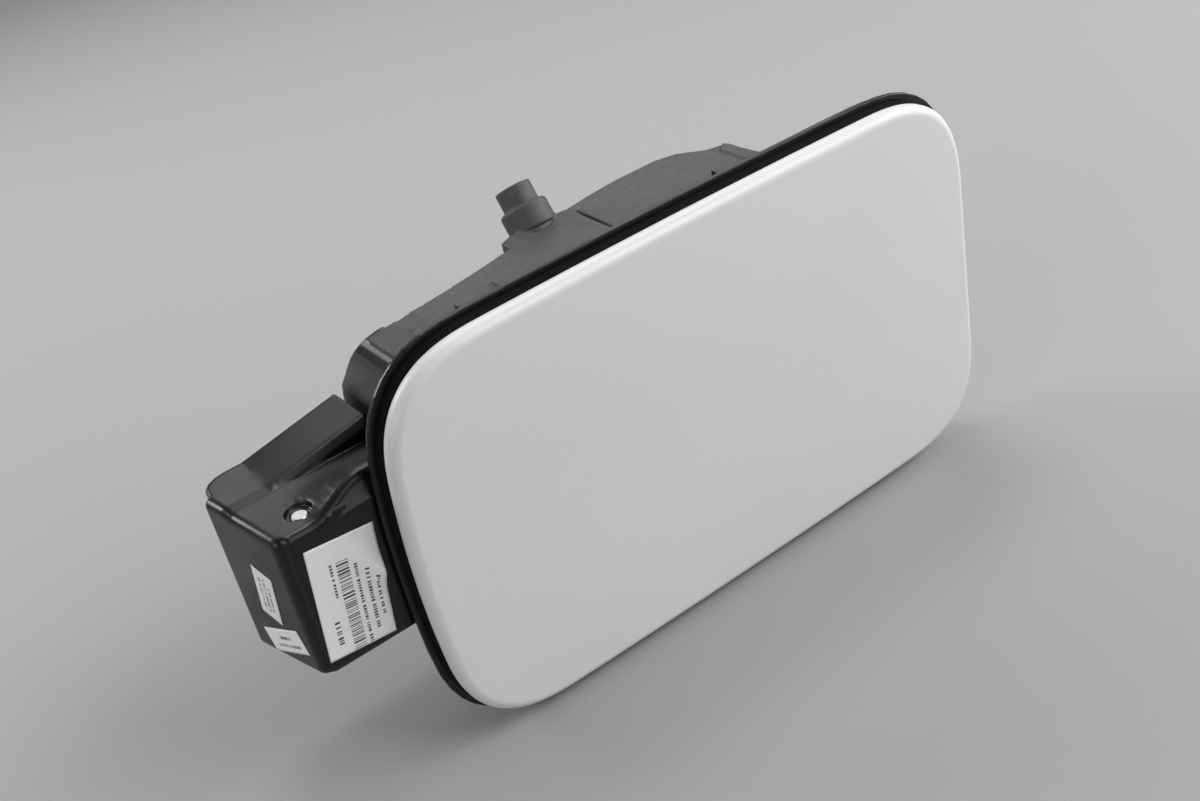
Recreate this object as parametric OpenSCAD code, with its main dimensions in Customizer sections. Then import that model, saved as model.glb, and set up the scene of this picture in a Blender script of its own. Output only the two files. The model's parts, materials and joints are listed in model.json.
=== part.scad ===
// Car fuel door: a closed flap in its rim, with the bowl, the drain spigot and the hinge box behind it.
// The flap's outer face looks along -Y, the bowl goes back along +Y, and the hinge pin stands along Z.
// The origin is the middle of the flap, in the plane of its widest outline.

/* [Flap] */
// Width of the flap between its short edges at the corners
flap_w = 230; // [210:1:250]
// Height of the flap between its long edges at the corners
flap_h = 137.8; // [125:0.1:150]
// How far the hinge edge bows outward at its middle
hinge_bow = 6; // [0:0.5:8]
// How far each long edge bows outward at its middle
long_bow = 1.6; // [0:0.1:3]
// Reach of the two corners on the hinge side
hinge_corner = 37.5; // [30:0.5:45]
// Reach of the two corners on the lock side
lock_corner = 41.5; // [30:0.5:50]
// Power of the corner curve, where 2 is a circle
corner_power = 2.9; // [2:0.1:3.4]
// Radius of the rolled edge
edge_roll = 3.4; // [2.6:0.1:4.5]
// How far the edge of the face stands in front of the widest outline
face_front = 3.6; // [3.4:0.1:5]
// Rise of the face at its middle
face_crown = 0.6; // [0:0.1:2]
// Wall of the flap's outer shell
skin_t = 2; // [1.6:0.1:2.4]
// How far the skirt reaches back from the widest outline
skirt_back = 1.8; // [1.6:0.1:2.2]

/* [Carrier] */
// Thickness of the carrier plate
carrier_t = 2; // [1.6:0.1:2.2]
// Gap between the skin and the carrier
clip_gap = 0.3; // [0.2:0.05:0.4]
// Depth of the stiffening ribs behind the plate
rib_h = 3.4; // [2:0.1:4.4]
// Thickness of the ribs
rib_t = 1.8; // [1.2:0.1:2.4]
// Distance of the rib frame from the flap's outline
rib_inset = 10; // [9:0.5:14]
// Width of each clip that holds the skin
clip_w = 12; // [8:1:16]
// Gap between the cheeks of the holder for the fuel cap
cradle_gap = 13; // [12.4:0.1:16]
// Length of the holder's cheeks
cradle_l = 16; // [10:0.5:18]
// Distance of the holder's closed end from the flap's middle
cradle_out = 58; // [54:0.5:60]

/* [Hinge] */
// Distance of the pin outside the flap's hinge edge
pivot_out = 21; // [20:0.5:23]
// Distance of the pin behind the flap's widest outline
pivot_back = 18; // [17:0.5:20]
// Radius of the hinge pin
pin_r = 2.9; // [2.4:0.1:3.2]
// Running gap round the pin in the barrel
pin_run = 0.05; // [0.02:0.01:0.08]
// Radius of the arm's barrel
barrel_r = 6.4; // [5.8:0.1:6.6]
// Thickness of the swan-neck arm
arm_t = 4; // [3:0.1:4.4]
// Height of the arm along the pin
arm_h = 36; // [28:1:38]
// Free way between the arm and the rim as the flap swings
swing_gap = 1.4; // [1:0.1:1.8]
// Direction in which the arm leaves the pin, from +X towards +Y
arm_angle = 82; // [80:1:88]
// Thickness of the leaf spring
spring_t = 0.8; // [0.5:0.1:1]
// Width of the leaf spring along the pin
spring_w = 18; // [12:0.5:21]
// How far the leaf spring reaches behind the pin
spring_back = 20; // [17:0.5:21]

/* [Rim and seal] */
// Front of the rim flange behind the widest outline
rim_front = 5.6; // [5.4:0.1:6.2]
// Thickness of the rim flange
rim_t = 1.8; // [1.4:0.1:2.4]
// How far the rim stands outside the flap
rim_out = 2.6; // [2:0.1:3.2]
// How far the rim reaches inside the flap's outline
rim_in = 4.6; // [4.2:0.1:5]
// Depth of the short neck behind the rim
neck_depth = 4; // [3:0.1:4.4]
// Wall of the hard mouldings
hard_t = 2.2; // [1.8:0.1:2.6]
// Thickness of the seal round the rim's inner edge
seal_t = 0.9; // [0.7:0.1:1.1]

/* [Hinge box] */
// Gap between the back of the rim and the front of the box
box_behind = 1; // [0.9:0.1:1.2]
// Distance of the box's outer end from the pin
box_out = 12; // [11:0.5:14]
// How far the end face slants outward towards the back
box_slant = 8; // [4:0.2:9]
// Height of the box top over the flap's middle, beside the pin
box_top = 30; // [28:0.5:32]
// Height of the rear level of the box top where it meets the bowl
box_top_rim = 38.6; // [36:0.2:40]
// How far the front edge of the box top sweeps up beside the rim
box_flare = 6.4; // [4:0.2:8]
// Depth of the box bottom under the flap's middle, at the front
box_foot = 21.5; // [20.5:0.5:23]
// Depth of the box bottom at the back
box_foot_back = 28; // [26:0.5:30]
// Rounding of the box's edges
box_round = 2.6; // [2:0.2:4]
// Rounding of the upright edge between the box's front and its end face
box_edge = 4; // [4:0.5:6]
// Rounding of the box's rear corner, seen from above
box_corner = 12; // [10:0.5:14]

/* [Bowl] */
// Wall of the soft moulding
soft_t = 2; // [1.6:0.1:2.4]
// Depth of the top wall at the hinge end
wall_hinge = 24; // [20:1:28]
// Depth of the top wall at its deepest place
wall_deep = 39; // [34:1:42]
// Where the deep part of the bowl ends on the lock side
deep_end = 38.5; // [34:0.5:48]
// Depth of the shallow part on the lock side
shallow_back = 31; // [29:1:34]
// Place of the filler neck along X
neck_x = -6; // [-14:1:2]
// Place of the filler neck along Z
neck_z = -3; // [-8:1:2]
// Radius of the hole for the filler neck
neck_r = 29; // [26:0.5:31]
// How far the dome stands outside the hole for the filler neck
dome_step = 29; // [27:0.5:30]
// Depth of the top wall at the lock side, where the shallow part begins
wall_lock = 27.4; // [24:0.2:30]
// Depth of the bowl's rear wall
rear_back = 57.6; // [54:0.2:62]
// Length of the collar behind the rear wall
collar_l = 12; // [8:0.5:16]
// Wall of the collar
collar_t = 4.2; // [3.6:0.1:5]
// Width of the groove for the hard ring
groove_w = 5; // [4:0.5:6]
// Depth of the groove for the hard ring
groove_in = 1; // [0.6:0.1:1.4]
// Distance of the groove from the collar's end
groove_end = 2; // [1.5:0.1:2.5]
// Wall of the hard ring
ring_t = 1.8; // [1.2:0.1:2.4]
// Groove in the top wall
slit_w = 1; // [0.6:0.1:1.4]

/* [Drain spigot] */
// Radius of the spigot's end, where the hose goes on
spigot_r = 6; // [5:0.1:6.5]
// Radius of the spigot's thick part
spigot_thick_r = 8; // [7.2:0.1:8.6]
// Radius of the drain hole
drain_r = 4; // [3:0.1:4.4]
// Lean of the spigot from upright
spigot_lean = 33; // [28:1:38]
// Place of the spigot along X
spigot_x = -35; // [-42:1:-32]
// Width of the raised pad under the spigot
pad_w = 27.5; // [22:0.5:30]
// Rise of the pad at the rear edge of the wall
pad_h = 1.6; // [0.8:0.1:2.4]

/* [Lock side] */
// Depth of the lock bolt's axis behind the widest outline
bolt_back = 17; // [16:0.5:19]
// Radius of the hole for the lock bolt
bolt_r = 4.6; // [3.5:0.1:5]
// Wall of the bush for the lock bolt
bush_t = 1.6; // [1.2:0.1:2]
// Distance of the rubber stops from the flap's long edges
stop_edge = 24.9; // [23:0.1:31]
// Distance of the rubber stops from the flap's short edge
stop_in = 15; // [14:0.5:18]
// Radius of the rubber stops
stop_r = 5; // [4:0.5:6]

/* [Fixings and labels] */
// Radius of the screw hole in the steel sleeve
screw_r = 2.75; // [2.1:0.05:3.1]
// Wall of the steel sleeve
sleeve_t = 1.5; // [1:0.1:2]
// Width of the snap lugs
lug_w = 2.8; // [1.8:0.1:3.4]
// Height of the snap lugs over the wall
lug_h = 3.2; // [2:0.1:3.6]
// Width of the large label
label_w = 22.5; // [18:0.5:23]
// Height of the large label
label_h = 40; // [30:0.5:41]
// Width of the upper label on the end face
upper_label_w = 10; // [8:0.5:12]
// Height of the upper label on the end face
upper_label_h = 21.5; // [16:0.5:23]
// Width of the lower label on the end face
lower_label_w = 23.5; // [18:0.5:25]
// Height of the lower label on the end face
lower_label_h = 8.7; // [7:0.1:10]
// Thickness of the labels
label_t = 0.2; // [0.1:0.05:0.3]

/* [Hidden] */

$fn = 64;
corner_steps = 10;
long_steps = 6;
short_steps = 4;
wall_steps = 18;
big = 400;
fit = 0.1;
seat = 0.02;

// Planes of the flap and the rim along Y
roll_y = edge_roll - face_front;
plate_front = skin_t - face_front + clip_gap;
plate_back = plate_front + carrier_t;
clip_front = plate_back + clip_gap;
rim_back = rim_front + rim_t;
neck_back = rim_back + neck_depth;

// The pin, the arm that swings round the rim, and the well that it needs
arm_mid = 5;
hinge_x = -(flap_w/2 + hinge_bow);
pivot_x = hinge_x - pivot_out;
seal_in = rim_in + seal_t;
seal_front = rim_front - seal_t;
arm_in = norm([pivot_out + seal_in, pivot_back - seal_front]) + swing_gap;
arm_out = arm_in + arm_t;
arm_low = arm_mid - arm_h/2;
arm_high = arm_mid + arm_h/2;
well_x = pivot_x + arm_out + 1.4;
well_back = pivot_back + arm_out + 2;
cheek_x = well_x + hard_t;

// The hinge box
web_front = rim_back + seal_t + fit;
box_front = rim_back + box_behind;
box_left = pivot_x - box_out;
box_back = well_back + hard_t;
well_top = box_top - hard_t;
well_foot = hard_t - box_foot;

// The bowl
neck_out = 2.4;
neck_in = neck_out + hard_t - fit;
dome_r = neck_r + dome_step;
wall_out = 0.3;
tab_t = 1.2;
soft_left = cheek_x + 8;
lean = 0.3186;
lean_base = flap_h/2 + 6.9;
lug_at = [-79.3, 18.5];
screw_reach = neck_r + collar_t + screw_r + sleeve_t + 3.35;
lug_y = neck_back - 3.4;
lug_t = 2.5;
ridge_l = 10;
shallow_top = flap_h/2 - 22.9;

// Small labels: in from the end face's front edge, up from the middle, and turned
upper_label_at = [19, 3.2];
upper_label_turn = 12;
lower_label_at = [18, -14.6];
lower_label_turn = -21.6;

// The rubber stops
stop_x = flap_w/2 - stop_in;
stop_z = flap_h/2 - stop_edge;

// A power of the sine or cosine that squares off a round corner
function squared(v) = sign(v)*pow(abs(v), 2/corner_power);
function corner(cx, cz, r, start) =
    [for (i = [0:corner_steps]) let (a = start + 90*i/corner_steps)
        [cx + r*squared(cos(a)), cz + r*squared(sin(a))]];
function between(p, q, steps) = [for (i = [1:steps - 1]) p + (q - p)*i/steps];

// The flap's outline in X and Z, grown outward by g
function outline(g) =
    let (hw = flap_w/2 + g, hh = flap_h/2 + g, rl = lock_corner + g, rh = hinge_corner + g,
         loop = concat(
            corner(hw - rl, hh - rl, rl, 0), between([hw - rl, hh], [rh - hw, hh], long_steps),
            corner(rh - hw, hh - rh, rh, 90), between([-hw, hh - rh], [-hw, rh - hh], short_steps),
            corner(rh - hw, rh - hh, rh, 180), between([rh - hw, -hh], [hw - rl, -hh], long_steps),
            corner(hw - rl, rl - hh, rl, 270), between([hw, rl - hh], [hw, hh - rl], short_steps)))
    [for (p = loop)
        [p[0] + (p[0] < 0 ? p[0]/hw*hinge_bow*(1 - pow(p[1]/hh, 2)) : 0),
         p[1] + p[1]/hh*long_bow*(1 - pow(p[0]/hw, 2))]];
// Height of a long edge over the place x
function edge_z(x, g) = flap_h/2 + g + long_bow*(1 - pow(x/(flap_w/2), 2));

// Extrusions along the three axes
module along_y(y0, y1) { translate([0, y1, 0]) rotate([90, 0, 0]) linear_extrude(y1 - y0) children(); }
module along_x(x0, x1) { translate([x0, 0, 0]) rotate([90, 0, 90]) linear_extrude(x1 - x0) children(); }
module along_z(z0, z1) { translate([0, 0, z0]) linear_extrude(z1 - z0) children(); }
module rod_y(x, z, r, y0, y1) { translate([x, y0, z]) rotate([-90, 0, 0]) cylinder(r = r, h = y1 - y0); }
module rod_x(y, z, r, x0, x1) { translate([x0, y, z]) rotate([0, 90, 0]) cylinder(r = r, h = x1 - x0); }
module block(low, high) { translate(low) cube(high - low); }
// A band that follows the outline between two growths
module band(g_out, g_in, y0, y1) {
    along_y(y0, y1) difference() {
        polygon(outline(g_out));
        polygon(outline(g_in));
    }
}

// A closed skin through rings of points, from a front point over the edge to a back point
module lofted(rings, front, back) {
    n = len(rings[0]);
    last = len(rings) - 1;
    function at(k, i) = k*n + i%n;
    fan_front = n*(last + 1);
    points = concat([for (ring = rings) each ring], [front, back]);
    faces = concat(
        [for (i = [0:n - 1]) [fan_front, at(0, i + 1), at(0, i)]],
        [for (k = [0:last - 1], i = [0:n - 1]) each
            [[at(k, i), at(k, i + 1), at(k + 1, i + 1)], [at(k, i), at(k + 1, i + 1), at(k + 1, i)]]],
        [for (i = [0:n - 1]) [at(last, i), at(last, i + 1), fan_front + 1]]);
    polyhedron(points, faces);
}

// Outer shell of the flap: a crowned face, a rolled edge, a skirt, and ledges that the carrier snaps behind
module flap_skin() {
    function ring(g, y, s = 1) = [for (p = outline(g)) [p[0]*s, y, p[1]*s]];
    function crowned(y, s) = ring(-edge_roll, y - face_crown*(1 - s*s), s);
    function rolled(r, turn) = [for (a = turn) ring(r*sin(a) - edge_roll, roll_y - r*cos(a))];
    inner_roll = edge_roll - skin_t;
    inside = skin_t - face_front;
    rings = concat(
        [for (s = [0.35, 0.7]) crowned(-face_front, s)],
        rolled(edge_roll, [0:15:90]),
        [ring(0, skirt_back), ring(-skin_t, skirt_back)],
        rolled(inner_roll, [90:-30:0]),
        [for (s = [0.7, 0.35]) crowned(inside, s)]);
    color("gainsboro") {
        lofted(rings, [0, -face_front - face_crown, 0], [0, inside - face_crown, 0]);
        intersection() {
            band(-skin_t/2, -skin_t - 1.6, clip_front, skirt_back);
            union() {
                for (x = [-66, -22, 22, 66]) block([x - clip_w/2, 0, -big], [x + clip_w/2, 5, big]);
                for (z = [-24, 24]) block([-big, 0, z - clip_w/2], [big, 5, z + clip_w/2]);
            }
        }
    }
}

// Swan-neck arm in plan, from the barrel round the rim's edge to the carrier plate
module arm_plan() {
    difference() {
        union() {
            intersection() {
                difference() {
                    circle(r = arm_out, $fn = 96);
                    circle(r = arm_in, $fn = 96);
                }
                polygon([[0, 0], [big, 0], [big, big], [big*cos(arm_angle + 3), big*sin(arm_angle + 3)]]);
            }
            rotate(arm_angle) translate([0, -arm_t/2]) square([arm_in + arm_t/2, arm_t]);
            circle(r = barrel_r);
            translate([arm_in, plate_back - pivot_back - carrier_t/2])
                square([arm_t, pivot_back - plate_back + carrier_t/2]);
        }
        circle(r = pin_r + pin_run);
    }
}

// Inner moulding of the flap: plate, ribs, swan-neck arm, striker for the lock bolt and holder for the cap
module flap_carrier() {
    striker_x = flap_w/2 - 13;
    cradle = [-cradle_out, cradle_l - cradle_out];
    cheek_t = 2.4;
    cheek = cradle_gap/2 + cheek_t;
    hook = 1.8;
    color("dimgray") difference() {
        union() {
            along_y(plate_front, plate_back) polygon(outline(-skin_t - 1));
            intersection() {
                union() {
                    band(-rib_inset, -rib_inset - rib_t, plate_back, plate_back + rib_h);
                    for (z = [-34, -12, 12, 34])
                        block([-big, plate_back, z - rib_t/2], [big, plate_back + rib_h, z + rib_t/2]);
                    for (x = [-84, -50, 0, 44, 84])
                        block([x - rib_t/2, plate_back, -big], [x + rib_t/2, plate_back + rib_h*0.7, big]);
                }
                along_y(plate_back - 1, plate_back + rib_h) polygon(outline(-rib_inset));
            }
            // Arm, with a foot that spreads it over the plate
            translate([pivot_x, pivot_back]) along_z(arm_low, arm_high) arm_plan();
            for (z = [arm_low, arm_mid - rib_t/2, arm_high - rib_t])
                translate([pivot_x + arm_out, plate_back]) along_z(z, z + rib_t)
                    polygon([[-1, -1], [16, -1], [16, 1.6], [-1, 5.6]]);
            // Striker: an eye for the lock bolt, on two webs
            along_x(striker_x, striker_x + 3) difference() {
                union() {
                    translate([plate_back - 1, -8]) square([bolt_back - plate_back + 1, 16]);
                    translate([bolt_back, 0]) circle(r = 8);
                }
                translate([bolt_back, 0]) circle(r = bolt_r + 0.8);
            }
            for (z = [-8, 8 - rib_t]) along_z(z, z + rib_t)
                polygon([[striker_x + 0.5, plate_back - 1], [striker_x - 12, plate_back - 1],
                         [striker_x - 12, plate_back + 2], [striker_x + 0.5, plate_back + 13]]);
            // Cradle for the fuel cap: two hooked cheeks
            for (side = [-1, 1]) along_x(cradle[0], cradle[1]) translate([plate_back, side*cradle_gap/2])
                polygon([[-1, 0], [-1, side*cheek_t], [12, side*cheek_t],
                         [12, -side*hook], [10.4, -side*hook], [8.6, 0]]);
            block([cradle[0], plate_back - 1, -cheek + 1], [cradle[0] + 2, plate_back + 8, cheek - 1]);
        }
        // Room for the rubber stops, and a window in the arm
        for (side = [-1, 1]) rod_y(stop_x, side*stop_z, stop_r + 1.6, plate_back, plate_back + rib_h + 1);
        translate([pivot_x, pivot_back, arm_mid]) intersection() {
            rotate([0, 90, 40]) translate([0, 0, 10]) cylinder(r = arm_h/4, h = arm_out);
            along_z(-arm_h/4, arm_h/4) difference() {
                circle(r = arm_out + 1, $fn = 96);
                circle(r = arm_in - 1, $fn = 96);
            }
        }
        // Flats on the barrel, one for the shut flap and one for the open flap
        for (turn = [180, 265]) translate([pivot_x, pivot_back, arm_mid]) rotate(turn)
            translate([barrel_r - 0.8, -barrel_r, -11]) cube([2, 2*barrel_r, 22]);
    }
}

// Steel pin with rounded ends, pressed into the box
module hinge_pin() {
    low = -box_foot + 0.4;
    high = box_top - 0.9;
    tip = 0.6;
    color("silver") translate([pivot_x, pivot_back, 0]) rotate_extrude() polygon([
        [0, low], [pin_r - tip, low], [pin_r, low + tip],
        [pin_r, high - tip], [pin_r - tip, high], [0, high]]);
}

// Leaf spring that works on the barrel's flats, with hooked ends that stand against the wall of the well
module hinge_spring() {
    x = pivot_x - barrel_r - 0.3 - spring_t;
    y0 = box_front + hard_t + 1;
    y1 = pivot_back + spring_back;
    color("lightsteelblue") along_z(arm_mid - spring_w/2, arm_mid + spring_w/2) union() {
        translate([x, y0]) square([spring_t, y1 - y0]);
        for (y = [y0, y1 - spring_t])
            translate([well_left(y) + fit, y]) square([x - well_left(y), spring_t]);
    }
}

// The slanting end face of the box: its place along Y, and the round corners that it runs between
function end_x(y) = box_left - box_slant*(y - box_front)/(box_back - box_front);
end_turn = atan2(box_slant, box_back - box_front);
// Place of the well's wall behind the end face
function well_left(y) = end_x(y) + hard_t + 0.6;
// Height of the sloping bottom of the box
function foot_at(y) = -box_foot - (box_foot_back - box_foot)*(y - box_front)/(box_back - box_front);

// The box top along X: the front edge flares up beside the rim, and the rear level is a ramp behind a step
level_y = [33, 36];
level_step = 1.1;
flare_lean = 3;
knee_drop = 3;
function eased(t) = let (c = min(max(t, 0), 1)) c*c*(3 - 2*c);
function flare(x) = eased((x - pivot_x + 2)/(hinge_x - pivot_x + 1));
function ramp(x) = max(0, x - pivot_x + 1)/(cheek_x - pivot_x + 1);
function front_top(x) = box_top + box_flare*flare(x);
function inner_top(x) = box_top + 0.3 + 0.8*flare(x);
function rear_top(x) = box_top + level_step + (box_top_rim - box_top - level_step)*ramp(x);
function wall_top(x) = max(inner_top(x) + 0.1, rear_top(x) - 1.2 - 1.2*ramp(x));

// Place along X of the point y on the cross-section that stands a share t of the way from end face to cheek
function along(y, t) = end_x(y)*(1 - t) + cheek_x*t;
// How far an upright corner of radius c has cut back the cross-section at d from the end
function bite(c, d) = let (left = max(0, c - d)) c - sqrt(c*c - left*left);

// One cross-section of the box at d from the end face, drawn in by inset. Its four edges are arcs.
function box_section(d, inset) =
    let (r = box_round, q = r - inset, core = max(0, d - r), t = d/(cheek_x - end_x(level_y[0])),
         y0 = box_front + r + bite(box_edge - r, core), y1 = box_back - r - bite(box_corner - r, core),
         step = level_y[1] - level_y[0], x0 = along(y0, t), x1 = along(y1, t), xl = along(level_y[0], t),
         knee = box_top - knee_drop*(1 - 0.5*flare(x0)),
         outline = concat(
            [[y0 - q, knee]],
            [for (a = [0:30:90]) [y0 + flare_lean*flare(x0) - q*cos(a), front_top(x0) - r + q*sin(a)]],
            [[level_y[0], inner_top(xl) - inset], [level_y[0] + 0.15*step, wall_top(xl) - inset]],
            [[level_y[1], rear_top(xl) - 0.3 - inset], [level_y[1] + 0.5*step, rear_top(xl) - inset]],
            [for (a = [0:30:90]) [y1 + q*sin(a), rear_top(x1) - r + q*cos(a)]],
            [for (a = [0:45:90]) [y1 + q*cos(a), foot_at(y1) + r - q*sin(a)]],
            [for (a = [0:45:90]) [y0 - q*sin(a), foot_at(y0) + r - q*cos(a)]]))
    [for (p = outline) [along(p[0], t), p[0], p[1]]];

// Outer form of the hinge box: a loft from the rounded end face to the cheek beside the bowl
module box_form() {
    r = box_round;
    length = cheek_x - box_left;
    rings = concat(
        [for (a = [90:-30:0]) box_section(r*(1 - sin(a)), r*(1 - cos(a)))],
        [for (d = [box_edge, 6, 9, box_corner]) box_section(d, 0)],
        [for (k = [1:14]) box_section(box_corner + (length - box_corner)*k/14, 0)]);
    lofted(rings, [end_x(level_y[0]), level_y[0], 0], [cheek_x, level_y[0], 0]);
}

// The space in which the arm swings, open to the front beside the rim
module well() {
    front = box_front + hard_t;
    turn = 9;
    along_z(well_foot, well_top) polygon([
        [well_left(front), front], [well_left(well_back - turn), well_back - turn],
        [well_left(well_back) + turn - 2, well_back], [well_x, well_back],
        [well_x, 0], [hinge_x + rim_in, 0], [hinge_x + rim_in, front]]);
    // The roof steps up under the rear level's ramp
    block([hinge_x - 2, level_y[1] + hard_t, 0], [well_x, well_back - 1, rear_top(hinge_x - 2) - hard_t]);
}

// Rounded shoulder between the box and the bowl, as seen from the side: in by d all round
function shoulder(d) =
    let (y1 = box_back - 2 - d, top = edge_z(cheek_x, 0))
    [[0, -top + d], [wall_hinge + 2 - d, -top + d], [y1 - 2, -box_top_rim - 2 + d/2], [y1, -box_top_rim + 3],
     [y1, box_top_rim - 3], [y1 - 2, box_top_rim + 2 - d/2], [wall_hinge + 2 - d, top - d], [0, top - d]];

// Front view of the shoulders from the well on, in by d: their outer corners are quarter ellipses
function shoulder_front(d) =
    let (a = 8, b = 12.5, x = well_x + d, z = flap_h/2 - 15.9 - d, turn = [0:15:90])
    concat([for (t = turn) [x + a*(1 - cos(t)), z + b*sin(t)]], [[0, z + b], [0, -z - b]],
        [for (t = turn) [x + a*(1 - sin(t)), -z - b*cos(t)]]);

// Hard moulding: rim flange, short neck, hinge box with its well, shoulders, stop ledges, lugs and bolt boss
module bowl_frame() {
    boss_r = bolt_r + bush_t + seat + 2.6;
    right_in = flap_w/2 - neck_in;
    color([0.09, 0.09, 0.1]) difference() {
        union() {
            band(rim_out, -rim_in, rim_front, rim_back);
            band(-neck_out, -neck_in, rim_back, neck_back);
            box_form();
            // Shoulder on the side of the bowl
            intersection() {
                along_x(well_x, soft_left - fit) polygon(shoulder(0));
                along_y(web_front, box_back) intersection() {
                    polygon(outline(-wall_out - tab_t));
                    polygon(shoulder_front(0));
                }
            }
            // Webs that close the rim's corners beside the well
            intersection() {
                along_y(web_front, neck_back) polygon(outline(-neck_out));
                union() {
                    block([-big, 0, box_top - hard_t], [cheek_x, big, big]);
                    block([-big, 0, -big], [cheek_x, big, -box_foot + hard_t]);
                    block([hinge_x, 0, -box_foot], [hinge_x + rim_in, box_front + hard_t, box_top]);
                }
            }
            // Ledges for the rubber stops
            intersection() {
                along_y(web_front, web_front + hard_t) polygon(outline(-neck_in + 0.5));
                for (side = [-1, 1]) {
                    rod_y(stop_x, side*stop_z, stop_r + 3, 0, big);
                    block([stop_x, 0, side*stop_z - stop_r - 1], [big, big, side*stop_z + stop_r + 1]);
                }
            }
            // Boss for the lock bolt's bush
            intersection() {
                along_x(right_in, right_in + hard_t - fit) union() {
                    translate([rim_back - 1, -boss_r]) square([bolt_back - rim_back + 1, 2*boss_r]);
                    translate([bolt_back, 0]) circle(r = boss_r);
                }
                block([0, 0, -big], [big, big, big]);
            }
            // Snap lugs
            for (x = lug_at, side = [-1, 1]) {
                foot = edge_z(x, -neck_in);
                top = edge_z(x, -wall_out);
                along_y(lug_y, lug_y + lug_t) polygon([[x - lug_w/2, side*foot], [x + lug_w/2, side*foot],
                    [x + lug_w/2, side*top], [x - lug_w/2, side*(top + lug_h)]]);
            }
            // Ridge on the box's front face, under its top edge
            translate([pivot_x + 1.6, box_front, box_top - 2.4]) rotate([0, 71.6, 0])
                cylinder(r = 0.6, h = ridge_l);
            // Small feet under the box
            for (p = [[end_x(30) + 5, 30], [pivot_x + 10, 15]])
                translate([p[0], p[1], foot_at(p[1]) - 1.5]) cylinder(r = 2.2, h = 4);
        }
        well();
        // Inside of the shoulder
        intersection() {
            along_x(cheek_x, soft_left - fit - hard_t) polygon(shoulder(hard_t));
            along_y(web_front - 1, box_back) intersection() {
                polygon(outline(-wall_out - tab_t - hard_t));
                polygon(shoulder_front(hard_t));
            }
            union() {
                block([-big, 0, box_top_rim], [big, big, big]);
                block([-big, 0, -big], [big, big, -box_foot_back - hard_t]);
            }
        }
        // Holes: hinge pin with its recess, lock bolt bush, rubber stops
        translate([pivot_x, pivot_back]) {
            translate([0, 0, -box_foot - 2]) cylinder(r = pin_r + seat, h = box_top + box_foot + 8);
            translate([0, 0, box_top - 1.2]) cylinder(r = pin_r + 1.4, h = 8);
        }
        rod_x(bolt_back, 0, bolt_r + bush_t + seat, right_in - 5, big);
        for (side = [-1, 1]) rod_y(stop_x, side*stop_z, stop_r/2 + seat, 0, 20);
    }
}

// Rear edge of the top wall at x: it swells towards the filler neck and falls towards the shallow part
swell = [soft_left + 7, neck_x + 11];
fall = [deep_end - 20, deep_end - 2];
function wall_back(x) = wall_hinge + (wall_deep - wall_hinge)*eased((x - swell[0])/(swell[1] - swell[0]))
    - (wall_deep - wall_lock)*eased((x - fall[0])/(fall[1] - fall[0]));
// Plan of the bowl's deep part, in by d
function deep_plan(d) =
    let (left = soft_left + d, right = deep_end - d)
    concat([[left, 0]],
        [for (i = [0:wall_steps]) let (x = left + (right - left)*i/wall_steps) [x, wall_back(x) - d]],
        [[right, 0]]);
// Side view of the shallow part on the lock side, in by d
function shallow_side(d) = let (top = flap_h/2 + 3) [
    [0, d - top], [12 - d/2, d - top + 1], [shallow_back - d, d/2 - shallow_top],
    [shallow_back - d, shallow_top - d/2], [12 - d/2, top - 1 - d], [0, top - d]];
// The dome round the filler neck, as radius over depth
module dome(d) {
    y = rear_back - d;
    r = dome_r - d;
    translate([neck_x, 0, neck_z]) rotate([-90, 0, 0]) rotate_extrude($fn = 96) polygon([
        [0, 12], [r - 1, 12], [r, 30], [r - 3, 40], [r - 6, y - 6], [r - 9, y - 2], [r - 13, y], [0, y]]);
}
module bowl_form(d) {
    // Deep part
    intersection() {
        along_z(-big, big) polygon(deep_plan(d));
        along_y(rim_back - d, big) polygon(outline(-wall_out - d));
        along_x(-big, big) polygon([
            [0, big], [0, d - lean_base], [big, d - lean_base + lean*big], [big, big]]);
    }
    // Shallow part
    intersection() {
        along_x(deep_end - 6, big) polygon(shallow_side(d));
        along_y(rim_back - d, big) polygon(outline(-wall_out - d));
    }
    dome(d);
}

module on_spigot() {
    translate([spigot_x, wall_deep - 1.5, edge_z(spigot_x, -wall_out)]) rotate([-spigot_lean, 0, 0])
        children();
}
// Pad under the spigot: a hipped wedge that rises towards the rear edge of the wall
module spigot_pad() {
    z = edge_z(spigot_x, -wall_out);
    back = wall_back(spigot_x);
    half = pad_w/2;
    intersection() {
        along_x(spigot_x - half, spigot_x + half) polygon([
            [back - 5.5, z - 1], [back - 5.5, z], [back, z + pad_h], [back + 1.4, z + pad_h - 0.8],
            [back + 1.4, z - 5], [back - 1, z - 5]]);
        along_y(0, big) polygon([
            [spigot_x - half, z - 5], [spigot_x - half, z], [spigot_x - half + 4.5, z + pad_h],
            [spigot_x + half - 4.5, z + pad_h], [spigot_x + half, z], [spigot_x + half, z - 5]]);
    }
}
// Tab that wraps the shoulder, in plan: its rear edge slants, with a lens-shaped notch at the corner
module tab_plan() {
    difference() {
        translate([cheek_x + 0.8, 0])
            polygon([[0, web_front], [0, 27], [8.8, 23.2], [10.5, 21], [10.5, web_front]]);
        translate([cheek_x + 11, 19.6])
            intersection_for (side = [-1, 1]) translate([side*1.8, 0]) circle(r = 3.4);
    }
}
// Raised end of the deep part in plan, with the grooves between its leaves
module end_plan() {
    difference() {
        polygon([[deep_end - 6, web_front], [deep_end - 6, wall_lock - 3],
                 [deep_end - 1.8, wall_lock + 0.4], [deep_end, web_front]]);
        translate([deep_end - 2.5, 16]) rotate(-12) translate([0, 0.5]) square([0.5, 8]);
        translate([deep_end - 2.8, box_front - 1]) rotate(10) square([0.5, 6.5]);
    }
}
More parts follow.
